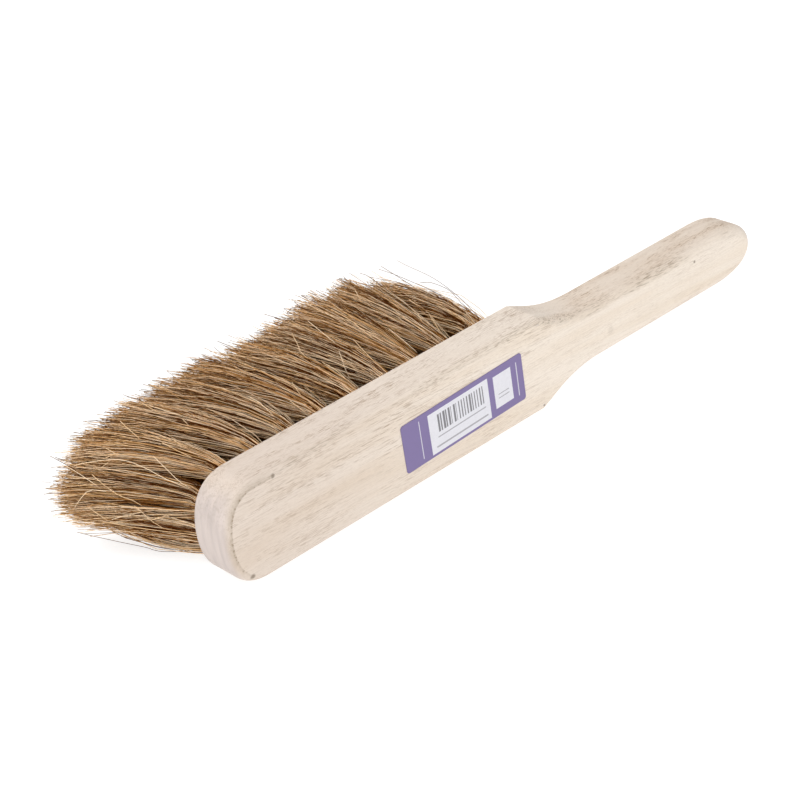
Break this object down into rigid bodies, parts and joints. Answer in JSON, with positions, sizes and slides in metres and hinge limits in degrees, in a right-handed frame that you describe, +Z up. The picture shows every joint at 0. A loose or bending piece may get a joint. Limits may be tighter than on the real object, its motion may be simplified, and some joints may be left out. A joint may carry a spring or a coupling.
{
  "type": "hand brush",
  "caption": "Wooden hand brush: a one-piece beech stock with a rounded head and handle, rows of stapled coir tufts on its face and a paper label on its back.",
  "frame": {"origin": "on the flat long side of the head that the brush lies on, at the middle of the head's length and thickness", "axes": "+X from the nose towards the handle end, +Y the way the bristles point, +Z up across the width of the head"},
  "size_m": [0.3115, 0.0763, 0.0498],
  "materials": {
    "beech": "matte",
    "label_paper": "satin",
    "coir": "matte",
    "staple_wire": "satin"
  },
  "bodies": {
    "root": {"wooden_stock": "beech", "paper_label": "label_paper", "bristle_row_1": "coir", "bristle_row_2": "coir", "bristle_row_3": "coir", "bristle_row_4": "coir", "tuft_staple_01": "staple_wire", "tuft_staple_02": "staple_wire", "tuft_staple_03": "staple_wire", "tuft_staple_04": "staple_wire", "tuft_staple_05": "staple_wire", "tuft_staple_06": "staple_wire", "tuft_staple_07": "staple_wire", "tuft_staple_08": "staple_wire", "tuft_staple_09": "staple_wire", "tuft_staple_10": "staple_wire", "tuft_staple_11": "staple_wire", "tuft_staple_12": "staple_wire", "tuft_staple_13": "staple_wire", "tuft_staple_14": "staple_wire", "tuft_staple_15": "staple_wire", "tuft_staple_16": "staple_wire", "tuft_staple_17": "staple_wire", "tuft_staple_18": "staple_wire", "tuft_staple_19": "staple_wire", "tuft_staple_20": "staple_wire", "tuft_staple_21": "staple_wire", "tuft_staple_22": "staple_wire", "tuft_staple_23": "staple_wire", "tuft_staple_24": "staple_wire", "tuft_staple_25": "staple_wire", "tuft_staple_26": "staple_wire", "tuft_staple_27": "staple_wire", "tuft_staple_28": "staple_wire", "tuft_staple_29": "staple_wire", "tuft_staple_30": "staple_wire", "tuft_staple_31": "staple_wire", "tuft_staple_32": "staple_wire", "tuft_staple_33": "staple_wire", "tuft_staple_34": "staple_wire", "tuft_staple_35": "staple_wire", "tuft_staple_36": "staple_wire", "tuft_staple_37": "staple_wire", "tuft_staple_38": "staple_wire"}
  },
  "joints": []
}
